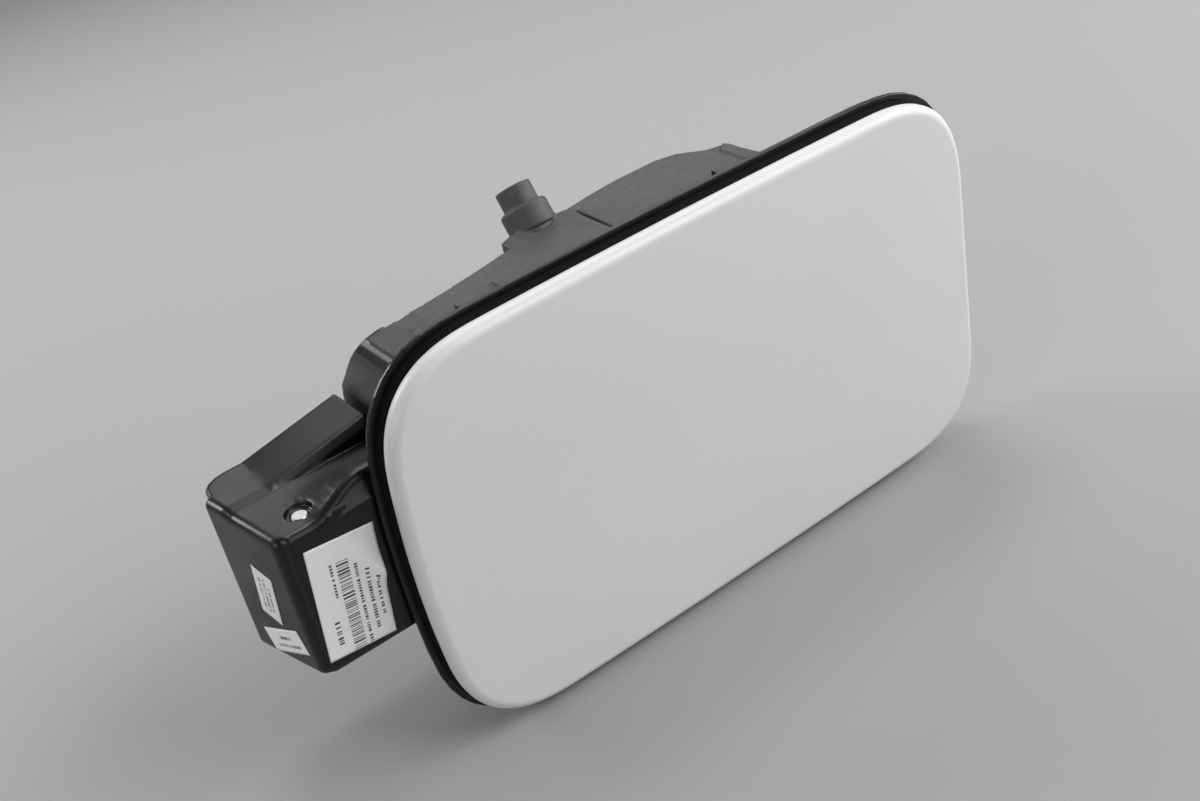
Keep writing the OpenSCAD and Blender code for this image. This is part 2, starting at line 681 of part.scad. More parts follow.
// Place of the fixing screw on the rear wall
screw_at = [neck_x + screw_reach*cos(45), neck_z + screw_reach*sin(45)];

// Soft moulding: walls, dome, collar for the filler neck, drain spigot, and tabs that wrap the hard frame
module soft_bowl() {
    hump = 0.5;
    color([0.25, 0.25, 0.26]) difference() {
        union() {
            difference() {
                union() {
                    bowl_form(0);
                    on_spigot() {
                        translate([0, 0, -12]) cylinder(r = spigot_thick_r + 1.6, h = 6.5);
                        translate([0, 0, -8]) cylinder(r = spigot_thick_r - 1.2, h = 8);
                        translate([0, 0, -2]) cylinder(r = spigot_thick_r, h = 7.3);
                        translate([0, 0, 5.3])
                            cylinder(r1 = spigot_thick_r, r2 = spigot_thick_r - 0.7, h = 0.7);
                    }
                    spigot_pad();
                    // Boss for the screw sleeve
                    rod_y(screw_at[0], screw_at[1], screw_r + sleeve_t + 2.6, rear_back - 3,
                          rear_back + 1.4);
                    // Webs round the collar
                    for (i = [0:7]) translate([neck_x, 0, neck_z]) rotate([0, 22.5 + 45*i, 0])
                        along_z(-0.9, 0.9) polygon([
                            [neck_r + collar_t - 1, rear_back - 1], [dome_r - 13, rear_back - 1],
                            [dome_r - 13, rear_back + 0.6], [neck_r + collar_t - 1, rear_back + 4.6]]);
                }
                bowl_form(soft_t);
            }
            // Collar, with a groove for its hard ring
            translate([neck_x, 0, neck_z]) rotate([-90, 0, 0]) rotate_extrude() let (
                y = rear_back + collar_l, r = neck_r + collar_t,
                groove = [y - groove_end - groove_w, y - groove_end])
                polygon([[neck_r - 2, rear_back - soft_t - 2], [r, rear_back - soft_t - 2], [r, groove[0]],
                         [r - groove_in, groove[0]], [r - groove_in, groove[1]], [r, groove[1]],
                         [r - 0.6, y], [neck_r - 2, y]]);
            on_spigot() cylinder(r = spigot_r, h = 12.8);
            // Boss inside for the sleeve's head
            rod_y(screw_at[0], screw_at[1], screw_r + sleeve_t + 2.6, rear_back - 4.6, rear_back - 1);
            // Tabs over the hard shoulders, and raised pads at the end of the deep part
            for (side = [-1, 1]) {
                intersection() {
                    band(hump, -wall_out - tab_t, box_front, wall_hinge + 4);
                    along_z(side > 0 ? 0 : -big, side > 0 ? big : 0) tab_plan();
                }
                intersection() {
                    band(hump, -wall_out - soft_t, box_front, wall_hinge + 4);
                    along_z(side > 0 ? 0 : -big, side > 0 ? big : 0) end_plan();
                }
            }
            // Peg on the tab, and the moulding's gate and rib behind the rim
            intersection() {
                band(1, -wall_out - soft_t, box_front, 16);
                union() {
                    translate([cheek_x + 9.6, 14.3, 0]) cylinder(r = 0.9, h = big);
                    block([-72, box_front, 0], [-67.6, 10, big]);
                    block([-67, box_front, 0], [-66, 10, big]);
                    block([-65, box_front, 0], [-64, 15.4, big]);
                }
            }
        }
        rod_y(neck_x, neck_z, neck_r, 0, big);
        rod_y(screw_at[0], screw_at[1], screw_r + sleeve_t + seat, 0, big);
        on_spigot() translate([0, 0, -20]) cylinder(r = drain_r, h = 40);
        // Groove in the top wall
        block([-22, box_front + 1, edge_z(-22, -wall_out) - 1.2], [-22 + slit_w, 32, big]);
        // Windows for the lugs and the bolt's bush
        for (x = lug_at, side = [-1, 1])
            translate([x - lug_w/2 - 0.4, lug_y - 0.4, side > 0 ? 0 : -big])
                cube([lug_w + 0.8, lug_t + 0.8, big]);
        rod_x(bolt_back, 0, bolt_r + bush_t + 0.4, flap_w/2 - 12, big);
        // The neck of the hard frame
        along_y(0, neck_back) polygon(outline(-neck_out + fit));
    }
}

// Black lip seal: a channel that grips the rim's inner edge, and a lip that stands behind the flap's skirt
module rim_seal() {
    lip_tip = skirt_back + 0.35;
    color([0.02, 0.02, 0.02]) union() {
        band(0.6, -seal_in, seal_front, rim_front);
        band(-rim_in, -seal_in, rim_front, rim_back);
        band(-neck_in - fit, -seal_in, rim_back, rim_back + seal_t);
        band(0.4, -0.8, (lip_tip + seal_front)/2, seal_front);
        band(0, -0.7, lip_tip, (lip_tip + seal_front)/2);
    }
}

// Rubber stop: a head that the flap rests on, a stem through the ledge and a bulb behind it
module bump_stop(z) {
    head = plate_back + 0.3;
    stem = stop_r/2;
    ledge = web_front + hard_t;
    color([0.05, 0.05, 0.05]) translate([stop_x, 0, z]) rotate([-90, 0, 0]) rotate_extrude() polygon([
        [0, head], [stop_r - 1.2, head], [stop_r, head + 1.2], [stop_r, web_front - 0.05],
        [stem, web_front - 0.05], [stem, ledge + 0.05], [stem + 0.8, ledge + 0.4],
        [stem - 0.6, ledge + 3.4], [0, ledge + 3.4]]);
}
module bump_stop_upper() { bump_stop(stop_z); }
module bump_stop_lower() { bump_stop(-stop_z); }

// Flanged sleeve that guides the lock bolt through the rim's neck and the soft wall
module lock_bolt_bush() {
    x0 = flap_w/2 - neck_in - 3;
    flange = flap_w/2 - wall_out;
    color("darkslategray") difference() {
        union() {
            rod_x(bolt_back, 0, bolt_r + bush_t, x0, flange + 1.8);
            rod_x(bolt_back, 0, bolt_r + bush_t + 2, flange + fit, flange + 1.8);
        }
        rod_x(bolt_back, 0, bolt_r, x0 - 1, flange + 5);
    }
}

// Steel sleeve that carries the screw's load through the soft rear wall
module neck_screw_sleeve() {
    color("silver") difference() {
        union() {
            rod_y(screw_at[0], screw_at[1], screw_r + sleeve_t, rear_back - 5.6, rear_back + 1.4);
            rod_y(screw_at[0], screw_at[1], screw_r + sleeve_t + 1.6, rear_back - 5.6, rear_back - 4.6);
        }
        rod_y(screw_at[0], screw_at[1], screw_r, 0, big);
    }
}

// Hard ring in the collar's groove
module neck_clamp_ring() {
    y = rear_back + collar_l - groove_end;
    r = neck_r + collar_t - groove_in + 0.05;
    color([0.15, 0.15, 0.16]) difference() {
        rod_y(neck_x, neck_z, r + ring_t, y - groove_w + fit, y - fit);
        rod_y(neck_x, neck_z, r, 0, big);
    }
}

// Large label on the front face of the hinge box, stuck on at a slight angle
module part_label() {
    color("whitesmoke") translate([pivot_x + 3.7, 0, 2.4]) rotate([0, -5.5, 0])
        along_y(box_front - label_t, box_front) square([label_w, label_h], center = true);
}
// Small labels on the slanting end face
module end_label(at, turn, w, h) {
    color("whitesmoke") translate([end_x(box_front), box_front, at[1]]) rotate([0, 0, end_turn])
        translate([0, at[0], 0]) rotate([turn, 0, 0])
            along_x(-label_t - seat, -seat) square([w, h], center = true);
}
module upper_test_label() { end_label(upper_label_at, upper_label_turn, upper_label_w, upper_label_h); }
module lower_test_label() { end_label(lower_label_at, lower_label_turn, lower_label_w, lower_label_h); }

flap_skin();
flap_carrier();
hinge_pin();
hinge_spring();
bowl_frame();
soft_bowl();
rim_seal();
bump_stop_upper();
bump_stop_lower();
lock_bolt_bush();
neck_screw_sleeve();
neck_clamp_ring();
part_label();
upper_test_label();
lower_test_label();
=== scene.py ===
# %% [markdown]
# # A car's fuel door
# The part is a fuel flap in its rim, with a soft bowl and a hinge box behind it, as it is before it goes
# into a car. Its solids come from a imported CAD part, and that is the frame: nothing here moves or resizes
# them. This file gives each piece its finish, and puts meshes with rounder edges in the place of the solids
# that need them. Lengths are in metres, as in Blender, unless a name or a comment says mm.

# %% Load the frame
import json
import math
import random

import bmesh
import bpy
import numpy as np
from mathutils import Matrix, Vector


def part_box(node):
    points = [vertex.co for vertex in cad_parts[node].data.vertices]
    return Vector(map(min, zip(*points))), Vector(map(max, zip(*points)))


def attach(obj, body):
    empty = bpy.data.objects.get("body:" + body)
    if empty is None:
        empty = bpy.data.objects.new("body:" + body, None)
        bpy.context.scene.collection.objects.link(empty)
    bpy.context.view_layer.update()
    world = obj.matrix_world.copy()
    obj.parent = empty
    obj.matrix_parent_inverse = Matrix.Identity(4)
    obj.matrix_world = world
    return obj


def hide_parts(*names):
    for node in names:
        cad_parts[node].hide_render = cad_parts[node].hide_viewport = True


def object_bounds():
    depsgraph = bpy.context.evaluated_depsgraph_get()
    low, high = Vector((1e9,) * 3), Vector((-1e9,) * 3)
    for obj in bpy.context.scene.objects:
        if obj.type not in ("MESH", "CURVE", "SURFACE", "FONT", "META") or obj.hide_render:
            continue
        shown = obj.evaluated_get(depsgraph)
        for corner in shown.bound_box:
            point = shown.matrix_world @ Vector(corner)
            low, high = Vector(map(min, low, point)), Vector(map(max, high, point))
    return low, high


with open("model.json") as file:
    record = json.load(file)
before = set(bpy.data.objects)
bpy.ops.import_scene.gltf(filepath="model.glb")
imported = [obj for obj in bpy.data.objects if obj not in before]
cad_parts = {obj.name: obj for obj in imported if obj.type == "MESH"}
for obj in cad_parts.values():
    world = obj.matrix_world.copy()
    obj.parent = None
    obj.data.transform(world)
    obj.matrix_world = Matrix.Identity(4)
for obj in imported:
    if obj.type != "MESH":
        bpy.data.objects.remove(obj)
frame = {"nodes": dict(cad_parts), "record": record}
CAD_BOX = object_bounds()
MM = 0.001
MICRON = 0.000001
print("CAD box in mm:", [[round(v / MM, 1) for v in corner] for corner in CAD_BOX])

# %% [markdown]
# ## The camera
# The photograph looks down on the part from the hinge side, with the camera rolled a little, so that the
# long edges climb to the right. A camera needs three things: where it stands, the point it looks at and its
# roll. The roll comes last, as a turn about the line of sight, because that keeps the other two easy to
# read.

# %% Camera
CAMERA_AT = Vector((-0.2384, -0.3344, 0.2656))
LOOK_AT = Vector((-0.0464, 0.0, 0.0244))
CAMERA_ROLL = math.radians(-12.75)
SENSOR_MM = 36.0
LENS_MM = 44.22
NEAREST_SEEN = 0.01

camera_data = bpy.data.cameras.new("photo_camera")
camera_data.sensor_width = SENSOR_MM
camera_data.lens = LENS_MM
camera_data.clip_start = NEAREST_SEEN
camera = bpy.data.objects.new("photo_camera", camera_data)
camera.location = CAMERA_AT
sight = (LOOK_AT - CAMERA_AT).to_track_quat("-Z", "Y").to_matrix().to_4x4()
camera.rotation_euler = (sight @ Matrix.Rotation(CAMERA_ROLL, 4, "Z")).to_euler()
bpy.context.scene.collection.objects.link(camera)
bpy.context.scene.camera = camera
print("camera", round((LOOK_AT - CAMERA_AT).length, 3), "m away, with a lens of", LENS_MM, "mm")

# %% [markdown]
# ## The lamps
# A black box shows its form only through what it mirrors, and a pale flap through how evenly it is lit. So
# broad panels do the work, as in a photographer's studio. The front and right ones light the flap's face and
# make it paler towards the right. The left one reaches the small labels. The two behind draw the edges of
# the box and the bowl, and two small ones, above and low in front, pick out the levels on the box's top.

# %% Lamps
FLAP_CENTRE = (0.0, 0.0, 0.0)
HINGE_BOX = (-0.1, 0.0, 0.0)
# Name, place, what it aims at, width, height, and power in watts
PANELS = [
    ("panel_front", (0.7, -0.85, 1.0), FLAP_CENTRE, 0.9, 0.8, 15.5),
    ("panel_right", (1.2, -0.25, 0.5), FLAP_CENTRE, 0.8, 0.6, 14.5),
    ("panel_left", (-1.15, -0.35, 0.35), FLAP_CENTRE, 0.7, 0.5, 5.0),
    ("panel_back", (0.4, 0.85, 0.7), FLAP_CENTRE, 1.0, 0.7, 4.5),
    ("strip_back_left", (-0.7, 0.95, 0.55), HINGE_BOX, 0.5, 0.4, 8.0),
    ("panel_above", (0.1, 0.35, 1.1), HINGE_BOX, 0.4, 0.3, 4.0),
    ("panel_low", (0.2, -1.3, 0.5), HINGE_BOX, 0.5, 0.3, 2.2),
]

for name, at, aim, width, height, watts in PANELS:
    light = bpy.data.lights.new(name, "AREA")
    light.shape = "RECTANGLE"
    light.size = width
    light.size_y = height
    light.energy = watts
    lamp = bpy.data.objects.new(name, light)
    lamp.location = at
    lamp.rotation_euler = (Vector(aim) - Vector(at)).to_track_quat("-Z", "Y").to_euler()
    bpy.context.scene.collection.objects.link(lamp)
print(len(PANELS), "panels give", round(sum(panel[-1] for panel in PANELS), 1), "W")

# %% [markdown]
# ## The world
# The world has two backgrounds. The one that lights the part is nearly black, because light from everywhere
# would wash the shadows out. The one that the camera sees past the floor is a plain pale grey. The Light
# Path node tells camera rays from all the others, and so chooses between the two.

# %% World
WORLD_LIGHT = (0.06, 0.061, 0.062, 1.0)
WORLD_SEEN = (0.52, 0.52, 0.525, 1.0)


def make_world():
    world = bpy.data.worlds.new("studio")
    bpy.context.scene.world = world
    world.use_nodes = True
    nodes, links = world.node_tree.nodes, world.node_tree.links
    light = nodes["Background"]
    light.inputs["Color"].default_value = WORLD_LIGHT
    seen = nodes.new("ShaderNodeBackground")
    seen.inputs["Color"].default_value = WORLD_SEEN
    path = nodes.new("ShaderNodeLightPath")
    mix = nodes.new("ShaderNodeMixShader")
    links.new(path.outputs["Is Camera Ray"], mix.inputs[0])
    links.new(light.outputs[0], mix.inputs[1])
    links.new(seen.outputs[0], mix.inputs[2])
    links.new(mix.outputs[0], nodes["World Output"].inputs["Surface"])
    return world


bpy.context.scene.view_settings.view_transform = "Standard"
print("world:", len(make_world().node_tree.nodes), "nodes")

# %% [markdown]
# ## Finishes
# Every finish is made of the same few steps: a plain colour on the shader, then noise in the part's own
# coordinates for the roughness, and bumps for the grain. Those coordinates are in metres, so a noise scale
# of 3000 makes grains of about a third of a millimetre. Each step of the noise's detail adds grains of half
# the size. A few short helpers keep each recipe down to what differs.

# %% Helpers for the finishes
EVEN = (1.0, 1.0, 1.0)
# Sockets of the Mix node that carry colours
MIX_FIRST = 6
MIX_SECOND = 7
MIX_RESULT = 2
FINISHES = {}


class Finish:
    """One material with its nodes, and short ways to add noise, ranges and bumps."""

    def __init__(self, name, color, roughness, metallic=0.0, specular=0.5):
        self.material = bpy.data.materials.new(name)
        self.material.use_nodes = True
        self.tree = self.material.node_tree
        self.shader = self.tree.nodes["Principled BSDF"]
        self.shader.inputs["Base Color"].default_value = (*color, 1.0)
        self.shader.inputs["Roughness"].default_value = roughness
        self.shader.inputs["Metallic"].default_value = metallic
        self.shader.inputs["Specular IOR Level"].default_value = specular
        self.material.diffuse_color = (*color, 1.0)
        self.place = self.node("ShaderNodeTexCoord").outputs["Object"]
        self.last_bump = None

    def node(self, kind):
        return self.tree.nodes.new(kind)

    def join(self, output, socket):
        self.tree.links.new(output, socket)

    def noise(self, scale, detail, stretch=EVEN):
        mapping = self.node("ShaderNodeMapping")
        mapping.inputs["Scale"].default_value = stretch
        self.join(self.place, mapping.inputs["Vector"])
        noise = self.node("ShaderNodeTexNoise")
        noise.inputs["Scale"].default_value = scale
        noise.inputs["Detail"].default_value = detail
        self.join(mapping.outputs["Vector"], noise.inputs["Vector"])
        return noise.outputs["Fac"]

    def spread(self, value, low, high, start=0.3, end=0.7):
        """The value's range from start to end becomes low to high, and what lies outside is cut off."""
        limits = self.node("ShaderNodeMapRange")
        for name, number in (("From Min", start), ("From Max", end), ("To Min", low), ("To Max", high)):
            limits.inputs[name].default_value = number
        self.join(value, limits.inputs["Value"])
        return limits.outputs["Result"]

    def rough(self, value):
        self.join(value, self.shader.inputs["Roughness"])

    def tint(self, value, first, second):
        mix = self.node("ShaderNodeMix")
        mix.data_type = "RGBA"
        self.join(value, mix.inputs["Factor"])
        mix.inputs[MIX_FIRST].default_value = (*first, 1.0)
        mix.inputs[MIX_SECOND].default_value = (*second, 1.0)
        self.join(mix.outputs[MIX_RESULT], self.shader.inputs["Base Color"])

    def bump(self, height, depth):
        """Relief of that depth in metres, on top of the bumps made before."""
        bump = self.node("ShaderNodeBump")
        bump.inputs["Distance"].default_value = depth
        self.join(height, bump.inputs["Height"])
        if self.last_bump:
            self.join(self.last_bump, bump.inputs["Normal"])
        self.last_bump = bump.outputs["Normal"]
        self.join(self.last_bump, self.shader.inputs["Normal"])


def keep(slot, finish):
    """File the finish under its material slot."""
    FINISHES[slot] = finish.material
    print(f"{slot}: {len(finish.tree.nodes)} shader nodes")


# %% [markdown]
# The skin is sprayed with primer: pale grey and even, with a soft sheen and the faint ripple that a spray
# gun leaves. The ripple has to stay under a hundredth of a millimetre, or the face looks hammered.

# %% Primed skin
PRIMER_DARK = (0.55, 0.56, 0.566)
PRIMER = (0.565, 0.575, 0.58)
PRIMER_PALE = (0.58, 0.588, 0.592)


def primer():
    finish = Finish("primed_skin", PRIMER, 0.42)
    clouds = finish.noise(9.0, 1.0)
    sheen = finish.noise(40.0, 3.0)
    ripple = finish.noise(700.0, 1.0)
    spray = finish.noise(5200.0, 2.0)
    finish.tint(finish.spread(clouds, 0.0, 1.0), PRIMER_DARK, PRIMER_PALE)
    finish.rough(finish.spread(sheen, 0.38, 0.47))
    finish.bump(ripple, 6 * MICRON)
    finish.bump(spray, 1.6 * MICRON)
    return finish


keep("primed_skin", primer())

# %% [markdown]
# Hard black plastic mirrors its surroundings dimly. What tells the eye that it is moulded, and not painted,
# is a fine grain from the mould, slow waves where the wall has shrunk, and a few rubbed places that shine
# less. The same recipe serves four parts. The hinge box is the blackest and shiniest of them.

# %% Hard black plastic
PLASTIC_SPECULAR = 0.48
PLASTIC_IOR = 1.42
RUBBED_STRETCH = (1.0, 0.6, 1.4)


def moulded_black(name, color, shiny, dull, wave_depth):
    """Black plastic whose roughness goes from shiny to dull."""
    finish = Finish(name, color, (shiny + dull) / 2, specular=PLASTIC_SPECULAR)
    finish.shader.inputs["IOR"].default_value = PLASTIC_IOR
    rubbed = finish.noise(55.0, 4.0, RUBBED_STRETCH)
    waves = finish.noise(45.0, 1.0)
    grain = finish.noise(2200.0, 3.0)
    finish.rough(finish.spread(rubbed, shiny, dull))
    finish.bump(waves, wave_depth)
    finish.bump(grain, 8 * MICRON)
    return finish


# Slot, colour, roughness from shiny to dull, and depth of the waves in microns
for slot, color, shiny, dull, wave in (
    ("hard_black_plastic", (0.0035, 0.0035, 0.004), 0.27, 0.4, 12),
    ("carrier_plastic", (0.03, 0.03, 0.032), 0.38, 0.52, 20),
    ("bush_plastic", (0.02, 0.02, 0.022), 0.35, 0.5, 10),
    ("ring_plastic", (0.015, 0.015, 0.016), 0.3, 0.42, 10),
):
    keep(slot, moulded_black(slot, color, shiny, dull, wave * MICRON))

# %% [markdown]
# The bowl is a softer, rubbery plastic. It is dull and charcoal grey, because its rough surface scatters
# the light from above, and it picks up small pale scuffs where it has been handled.

# %% Soft bowl plastic
CHARCOAL = (0.05, 0.051, 0.054)
CHARCOAL_CLEAN = (0.046, 0.048, 0.05)
CHARCOAL_SCUFFED = (0.085, 0.086, 0.088)
SCUFF_STRETCH = (1.0, 2.2, 1.0)
SCUFF_START = 0.62
SCUFF_END = 0.8


def soft_plastic():
    finish = Finish("soft_bowl_plastic", CHARCOAL, 0.6, specular=0.42)
    scuffs = finish.noise(260.0, 5.0, SCUFF_STRETCH)
    sheen = finish.noise(420.0, 3.0)
    waves = finish.noise(60.0, 1.0)
    grain = finish.noise(1500.0, 3.0)
    shown = finish.spread(scuffs, 0.0, 1.0, SCUFF_START, SCUFF_END)
    finish.tint(shown, CHARCOAL_CLEAN, CHARCOAL_SCUFFED)
    finish.rough(finish.spread(sheen, 0.56, 0.68))
    finish.bump(waves, 8 * MICRON)
    finish.bump(grain, 20 * MICRON)
    return finish


keep("soft_bowl_plastic", soft_plastic())

# %% [markdown]
# Rubber swallows nearly all light. The seal is close to black, with a fine tooth and next to no shine. The
# two bump stops are the same stuff, a little paler.

# %% Rubber
RUBBER_SPECULAR = 0.07
RUBBER_SPREAD = 0.08


def rubber(name, color, roughness):
    finish = Finish(name, color, roughness, specular=RUBBER_SPECULAR)
    sheen = finish.noise(300.0, 3.0)
    tooth = finish.noise(2600.0, 3.0)
    finish.rough(finish.spread(sheen, roughness - RUBBER_SPREAD, roughness + RUBBER_SPREAD))
    finish.bump(tooth, 14 * MICRON)
    return finish


keep("seal_rubber", rubber("seal_rubber", (0.004, 0.004, 0.004), 0.8))
keep("stop_rubber", rubber("stop_rubber", (0.01, 0.01, 0.01), 0.7))

# %% [markdown]
# Steel parts are turned or rolled, so their fine lines run one way: the noise is drawn out along Z.

# %% Steel
LINES_ALONG_Z = (1.0, 1.0, 0.04)
STEEL_SHINIER = 0.06
STEEL_DULLER = 0.1


def steel(name, color, roughness):
    finish = Finish(name, color, roughness, metallic=1.0)
    lines = finish.noise(4000.0, 2.0, LINES_ALONG_Z)
    finish.rough(finish.spread(lines, roughness - STEEL_SHINIER, roughness + STEEL_DULLER))
    finish.bump(lines, 2.5 * MICRON)
    return finish


keep("pin_steel", steel("pin_steel", (0.42, 0.42, 0.43), 0.34))
keep("spring_steel", steel("spring_steel", (0.42, 0.43, 0.45), 0.3))

# %% [markdown]
# Label stock is white paper with a thin, slightly shiny coat. The print is a black ink that lies on top, so
# it is a finish of its own and belongs to no slot.

# %% Label paper and ink
PAPER = (0.68, 0.68, 0.67)
PAPER_DARK = (0.665, 0.668, 0.66)
PAPER_PALE = (0.695, 0.695, 0.69)
COAT_WEIGHT = 0.25
COAT_ROUGHNESS = 0.3
INK_BLACK = (0.035, 0.035, 0.038)


def paper():
    finish = Finish("label_paper", PAPER, 0.45)
    clouds = finish.noise(140.0, 3.0)
    fibres = finish.noise(900.0, 4.0)
    finish.tint(finish.spread(clouds, 0.0, 1.0), PAPER_DARK, PAPER_PALE)
    finish.bump(fibres, 8 * MICRON)
    finish.shader.inputs["Coat Weight"].default_value = COAT_WEIGHT
    finish.shader.inputs["Coat Roughness"].default_value = COAT_ROUGHNESS
    return finish


def ink():
    finish = Finish("label_ink", INK_BLACK, 0.5)
    dots = finish.noise(600.0, 3.0)
    finish.rough(finish.spread(dots, 0.42, 0.6))
    return finish


keep("label_paper", paper())
INK = ink().material

# %% [markdown]
# Each finish belongs to one of the record's material slots, and the record says which slot a node has. So
# the nodes find their finish by name, and a node that keeps its CAD mesh needs nothing else.

# %% Finishes on the nodes
RECORD = frame["record"]
SLOT_OF = {part["node"]: part["material_slot"] for part in RECORD["subparts"]}
BODY_OF = {node: body for body, nodes in RECORD["behaviour"]["bodies"].items() for node in nodes}

for node, solid in frame["nodes"].items():
    solid.data.materials.clear()
    solid.data.materials.append(FINISHES[SLOT_OF[node]])
print(len(FINISHES), "finishes on", len(frame["nodes"]), "nodes")

# %% [markdown]
# ## New pieces
# A new piece is a mesh that stands for a node: it hides the node's plain solid, rides on the same body and
# takes the same slot's finish. One function does this for all of them, so no piece can be left behind by a
# joint. The print on a label hides nothing, so it doesn't stand in for its node.

# %% Adding a piece
def add_piece(name, mesh, node, finish=None, stands_in=True):
    mesh.materials.clear()
    mesh.materials.append(finish or FINISHES[SLOT_OF[node]])
    piece = bpy.data.objects.new(name, mesh)
    bpy.context.scene.collection.objects.link(piece)
    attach(piece, BODY_OF[node])
    if stands_in:
        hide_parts(node)
    triangles = sum(len(face.vertices) - 2 for face in mesh.polygons)
    print(f"{name}: {triangles} triangles, for {node}")


def mesh_from(name, points, faces):
    """A smooth mesh from points in mm."""
    mesh = bpy.data.meshes.new(name)
    mesh.from_pydata([tuple(float(v) * MM for v in p) for p in points], [], faces)
    mesh.validate()
    for face in mesh.polygons:
        face.use_smooth = True
    mesh.update()
    return mesh


# %% [markdown]
# ## Moulded pieces
# A moulded part has no knife edges: steel moulds are cut with round tools. There are two ways to round a
# CAD mesh. A bevel is exact, but it breaks where many small faces meet. Remeshing in small voxels fuses the
# solid and rounds every edge over about two voxels, inner corners too, which is what a mould does. So each
# moulded solid is remeshed, and a few passes of smoothing take the steps of the voxels out.

# %% Remeshing and smoothing
VOXEL = 0.38 * MM
WELD = 0.001 * MM
SMOOTH_FACTOR = 0.5


def finished_mesh(piece):
    """The piece's mesh with its modifiers applied, as new data."""
    evaluated = piece.evaluated_get(bpy.context.evaluated_depsgraph_get())
    return bpy.data.meshes.new_from_object(evaluated)


def settle(work):
    """Make what the modifiers show the work's own mesh."""
    fine = finished_mesh(work)
    work.modifiers.clear()
    work.data = fine


def welded_copy(node):
    """A copy of the node's mesh whose faces share their points, because loose faces don't fuse."""
    mesh = frame["nodes"][node].data.copy()
    work = bmesh.new()
    work.from_mesh(mesh)
    bmesh.ops.remove_doubles(work, verts=work.verts, dist=WELD)
    work.to_mesh(mesh)
    work.free()
    return mesh


def in_voxels(node):
    work = bpy.data.objects.new("work", welded_copy(node))
    bpy.context.scene.collection.objects.link(work)
    remesh = work.modifiers.new("voxels", "REMESH")
    remesh.mode = "VOXEL"
    remesh.voxel_size = VOXEL
    remesh.use_smooth_shade = True
    settle(work)
    return work


def soften(work, passes, regions=()):
    """Smooth all of the work, or only the points in some regions: their low and high corners in mm."""
    smooth = work.modifiers.new("smooth", "SMOOTH")
    smooth.factor = SMOOTH_FACTOR
    smooth.iterations = passes
    if regions:
        places = np.empty(3 * len(work.data.vertices))
        work.data.vertices.foreach_get("co", places)
        places = places.reshape(-1, 3) / MM
        group = work.vertex_groups.new(name="regions")
        for low, high in regions:
            inside = ((places > np.array(low)) & (places < np.array(high))).all(axis=1)
            group.add(np.flatnonzero(inside).tolist(), 1.0, "REPLACE")
        smooth.vertex_group = group.name
    settle(work)


print("voxels of", round(VOXEL / MM, 2), "mm")

# %% [markdown]
# The solid's box top is built of flat triangles, which mirror the lamps in streaks. Its open stretches get
# many more passes. The points round such a stretch stay where they are, so it relaxes like a stretched
# sheet, and the edges beside it keep their form. After that, decimating leaves the triangles where the
# form bends, and weighted normals keep the flat stretches calm.

# %% Moulded pieces
EDGE_PASSES = 4
SURFACE_PASSES = 160
NORMAL_WEIGHT = 50
FRAME_TRIANGLES = 190000
BOWL_TRIANGLES = 190000
CARRIER_TRIANGLES = 150000
# Low and high corners in mm: behind the pin hole, beside it, beside the flared edge, and the bend of the
# rear level
BOX_TOP = [
    ((-146, 23.4, 29.2), (-136.2, 32, 33)),
    ((-136.4, 12.5, 29.2), (-130, 32, 33)),
    ((-130.2, 14.5, 29.2), (-112.5, 32, 34.5)),
    ((-153, 38, 30.3), (-131, 49, 36)),
]


def moulded(node, name, triangles, regions=()):
    work = in_voxels(node)
    soften(work, EDGE_PASSES)
    if regions:
        soften(work, SURFACE_PASSES, regions)
    # The remeshed faces have four corners, so two triangles each
    before = 2 * len(work.data.polygons)
    thin = work.modifiers.new("thin", "DECIMATE")
    thin.ratio = min(1.0, triangles / before)
    even = work.modifiers.new("even", "WEIGHTED_NORMAL")
    even.weight = NORMAL_WEIGHT
    mesh = finished_mesh(work)
    bpy.data.objects.remove(work)
    mesh.name = name
    add_piece(name, mesh, node)


moulded("bowl_frame", "hinge_box_and_rim", FRAME_TRIANGLES, BOX_TOP)
moulded("soft_bowl", "bowl_and_spigot", BOWL_TRIANGLES)
moulded("flap_carrier", "flap_inner_and_arm", CARRIER_TRIANGLES)

# %% [markdown]
# ## The flap's outline
# The flap, its seal and its rim all follow one line: long edges that bow out a little, a hinge edge that
# bows more, and corners squarer than a circle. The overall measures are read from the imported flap. Those
# that can't be read from its box are named here, in mm.

# %% Outline
flap_low, flap_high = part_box("flap_skin")
FLAP_HALF_W = flap_high.x / MM
HINGE_BOW = -flap_low.x / MM - FLAP_HALF_W
LONG_BOW = 1.6
FLAP_HALF_H = flap_high.z / MM - LONG_BOW
HINGE_CORNER = 37.5
LOCK_CORNER = 41.5
CORNER_POWER = 2.9
CORNER_STEPS = 26
LONG_STEPS = 26
SHORT_STEPS = 14


def on_corner(centre_x, centre_z, radius, quarters):
    """Point on a squared corner, a number of quarter turns round from +X."""
    turn = math.radians(90 * quarters)
    across, up = math.cos(turn), math.sin(turn)
    x = math.copysign(abs(across) ** (2 / CORNER_POWER), across)
    z = math.copysign(abs(up) ** (2 / CORNER_POWER), up)
    return centre_x + radius * x, centre_z + radius * z


